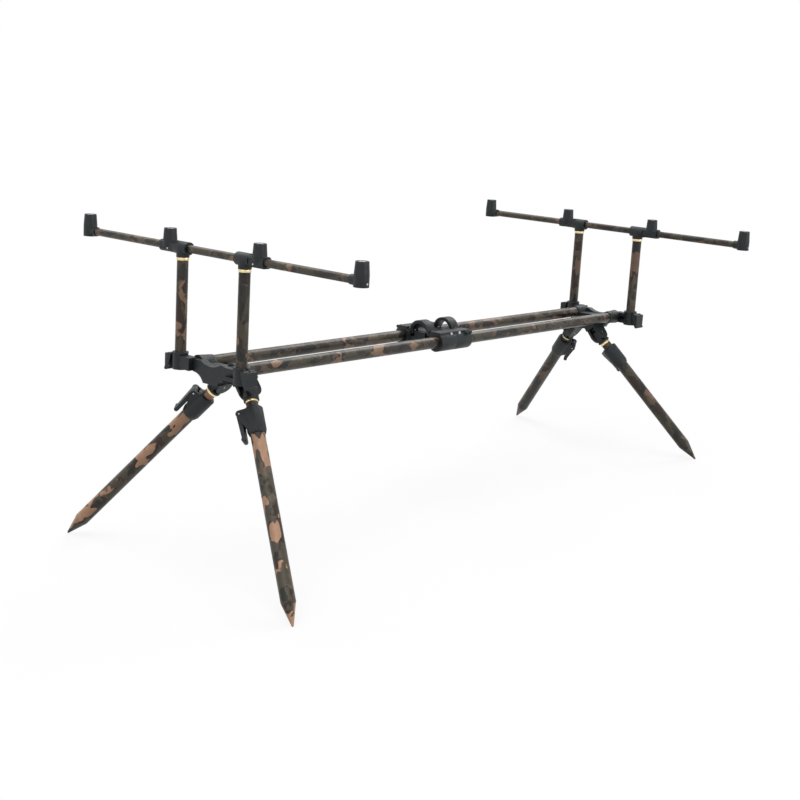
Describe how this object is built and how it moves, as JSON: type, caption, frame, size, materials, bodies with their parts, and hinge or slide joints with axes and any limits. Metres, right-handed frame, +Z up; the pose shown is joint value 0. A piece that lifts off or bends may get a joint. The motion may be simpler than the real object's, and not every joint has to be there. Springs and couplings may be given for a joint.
{
  "type": "rod pod",
  "caption": "Folding rod pod on telescopic spike legs: twin sliding main bars with a central lever lock, and at each end a lift-off upright frame with a buzz bar of threaded alarm sockets",
  "frame": {"origin": "on the ground under the middle of the bounding box", "axes": "+X along the main bars to the back end (the shorter legs), +Y to the left as seen from the front end, +Z up"},
  "size_m": [1.0484, 0.5716, 0.4669],
  "materials": {
    "black_fitting": "satin black moulded fittings",
    "camo_tube": "woodland camouflage paint on aluminium tube, satin",
    "gold_ring": "pale gold anodised ring",
    "bright_steel": "bright turned steel"
  },
  "bodies": {
    "front_half": {"front_head": "black_fitting", "front_clamps": "black_fitting", "front_bar_left": "camo_tube", "front_bar_right": "camo_tube", "inner_bar_left": "camo_tube", "front_lock": "black_fitting", "front_pins": "bright_steel"},
    "back_half": {"back_head": "black_fitting", "back_clamps": "black_fitting", "back_bar_left": "camo_tube", "back_bar_right": "camo_tube", "inner_bar_right": "camo_tube", "back_lock": "black_fitting", "back_pins": "bright_steel"},
    "front_frame": {"front_upright_left": "camo_tube", "front_upright_right": "camo_tube", "front_rings": "gold_ring", "front_tees": "black_fitting", "front_buzz_bar": "camo_tube", "front_sockets": "black_fitting", "front_inserts": "bright_steel", "front_screws": "bright_steel"},
    "back_frame": {"back_upright_left": "camo_tube", "back_upright_right": "camo_tube", "back_rings": "gold_ring", "back_tees": "black_fitting", "back_buzz_bar": "camo_tube", "back_sockets": "black_fitting", "back_inserts": "bright_steel", "back_screws": "bright_steel"},
    "front_left_leg_upper": {"front_left_knuckle": "black_fitting", "front_left_leg_ring": "gold_ring", "front_left_inner_leg": "camo_tube"},
    "front_left_leg_lower": {"front_left_leg": "camo_tube", "front_left_leg_lock": "black_fitting"},
    "front_left_leg_lever": {"front_left_leg_lever": "black_fitting"},
    "front_clamp_lever_left": {"front_clamp_lever_left": "black_fitting"},
    "front_right_leg_upper": {"front_right_knuckle": "black_fitting", "front_right_leg_ring": "gold_ring", "front_right_inner_leg": "camo_tube"},
    "front_right_leg_lower": {"front_right_leg": "camo_tube", "front_right_leg_lock": "black_fitting"},
    "front_right_leg_lever": {"front_right_leg_lever": "black_fitting"},
    "front_clamp_lever_right": {"front_clamp_lever_right": "black_fitting"},
    "back_left_leg_upper": {"back_left_knuckle": "black_fitting", "back_left_leg_ring": "gold_ring", "back_left_inner_leg": "camo_tube"},
    "back_left_leg_lower": {"back_left_leg": "camo_tube", "back_left_leg_lock": "black_fitting"},
    "back_left_leg_lever": {"back_left_leg_lever": "black_fitting"},
    "back_clamp_lever_left": {"back_clamp_lever_left": "black_fitting"},
    "back_right_leg_upper": {"back_right_knuckle": "black_fitting", "back_right_leg_ring": "gold_ring", "back_right_inner_leg": "camo_tube"},
    "back_right_leg_lower": {"back_right_leg": "camo_tube", "back_right_leg_lock": "black_fitting"},
    "back_right_leg_lever": {"back_right_leg_lever": "black_fitting"},
    "back_clamp_lever_right": {"back_clamp_lever_right": "black_fitting"},
    "front_lock_lever": {"front_lock_lever": "black_fitting"},
    "back_lock_lever": {"back_lock_lever": "black_fitting"}
  },
  "joints": [
    {"name": "length_slide", "type": "slide", "parent": "front_half", "child": "back_half", "axis": [0.9991, 0, -0.0435], "range_m": [0, 0.38]},
    {"name": "front_frame_lift", "type": "slide", "parent": "front_half", "child": "front_frame", "axis": [0.0435, 0, 0.9991], "range_m": [0, 0.04]},
    {"name": "back_frame_lift", "type": "slide", "parent": "back_half", "child": "back_frame", "axis": [0.0435, 0, 0.9991], "range_m": [0, 0.04]},
    {"name": "front_left_leg_fold", "type": "hinge", "parent": "front_half", "child": "front_left_leg_upper", "pos_m": [-0.4061, 0.03, 0.25138], "axis": [-0.0278, -0.7694, -0.6382], "range_deg": [0, 107.7]},
    {"name": "front_left_leg_extend", "type": "slide", "parent": "front_left_leg_upper", "child": "front_left_leg_lower", "axis": [-0.3356, 0.6085, -0.7191], "range_m": [0, 0.11]},
    {"name": "front_left_leg_lever_turn", "type": "hinge", "parent": "front_left_leg_lower", "child": "front_left_leg_lever", "pos_m": [-0.42898, 0.0605, 0.23781], "axis": [0.7391, 0.6433, 0.1995], "range_deg": [0, 80]},
    {"name": "front_clamp_lever_left_turn", "type": "hinge", "parent": "front_half", "child": "front_clamp_lever_left", "pos_m": [-0.45142, 0.077, 0.29088], "axis": [0.9991, 0, -0.0435], "range_deg": [0, 80]},
    {"name": "front_right_leg_fold", "type": "hinge", "parent": "front_half", "child": "front_right_leg_upper", "pos_m": [-0.4061, -0.03, 0.25138], "axis": [0.0278, -0.7694, 0.6382], "range_deg": [0, 107.7]},
    {"name": "front_right_leg_extend", "type": "slide", "parent": "front_right_leg_upper", "child": "front_right_leg_lower", "axis": [-0.3356, -0.6085, -0.7191], "range_m": [0, 0.11]},
    {"name": "front_right_leg_lever_turn", "type": "hinge", "parent": "front_right_leg_lower", "child": "front_right_leg_lever", "pos_m": [-0.42977, -0.03869, 0.21972], "axis": [0.7035, 0.3458, -0.621], "range_deg": [0, 80]},
    {"name": "front_clamp_lever_right_turn", "type": "hinge", "parent": "front_half", "child": "front_clamp_lever_right", "pos_m": [-0.45142, -0.077, 0.29088], "axis": [-0.9991, 0, 0.0435], "range_deg": [0, 80]},
    {"name": "back_left_leg_fold", "type": "hinge", "parent": "back_half", "child": "back_left_leg_upper", "pos_m": [0.4451, 0.03, 0.21434], "axis": [0.0278, 0.7694, 0.6382], "range_deg": [0, 107.7]},
    {"name": "back_left_leg_extend", "type": "slide", "parent": "back_left_leg_upper", "child": "back_left_leg_lower", "axis": [0.2719, 0.6085, -0.7455], "range_m": [0, 0.09]},
    {"name": "back_left_leg_lever_turn", "type": "hinge", "parent": "back_left_leg_lower", "child": "back_left_leg_lever", "pos_m": [0.46593, 0.03869, 0.18075], "axis": [-0.7547, -0.3458, -0.5575], "range_deg": [0, 80]},
    {"name": "back_clamp_lever_left_turn", "type": "hinge", "parent": "back_half", "child": "back_clamp_lever_left", "pos_m": [0.49368, 0.077, 0.24976], "axis": [0.9991, 0, -0.0435], "range_deg": [0, 80]},
    {"name": "back_right_leg_fold", "type": "hinge", "parent": "back_half", "child": "back_right_leg_upper", "pos_m": [0.4451, -0.03, 0.21434], "axis": [-0.0278, 0.7694, -0.6382], "range_deg": [0, 107.7]},
    {"name": "back_right_leg_extend", "type": "slide", "parent": "back_right_leg_upper", "child": "back_right_leg_lower", "axis": [0.2719, -0.6085, -0.7455], "range_m": [0, 0.09]},
    {"name": "back_right_leg_lever_turn", "type": "hinge", "parent": "back_right_leg_lower", "child": "back_right_leg_lever", "pos_m": [0.46593, -0.03869, 0.18075], "axis": [0.7547, -0.3458, 0.5575], "range_deg": [0, 80]},
    {"name": "back_clamp_lever_right_turn", "type": "hinge", "parent": "back_half", "child": "back_clamp_lever_right", "pos_m": [0.49368, -0.077, 0.24976], "axis": [-0.9991, 0, 0.0435], "range_deg": [0, 80]},
    {"name": "front_lock_lever_turn", "type": "hinge", "parent": "front_half", "child": "front_lock_lever", "pos_m": [-0.01067, 0, 0.27571], "axis": [0, -1, 0], "range_deg": [0, 80]},
    {"name": "back_lock_lever_turn", "type": "hinge", "parent": "back_half", "child": "back_lock_lever", "pos_m": [0.04728, 0, 0.27319], "axis": [0, 1, 0], "range_deg": [0, 80]}
  ]
}
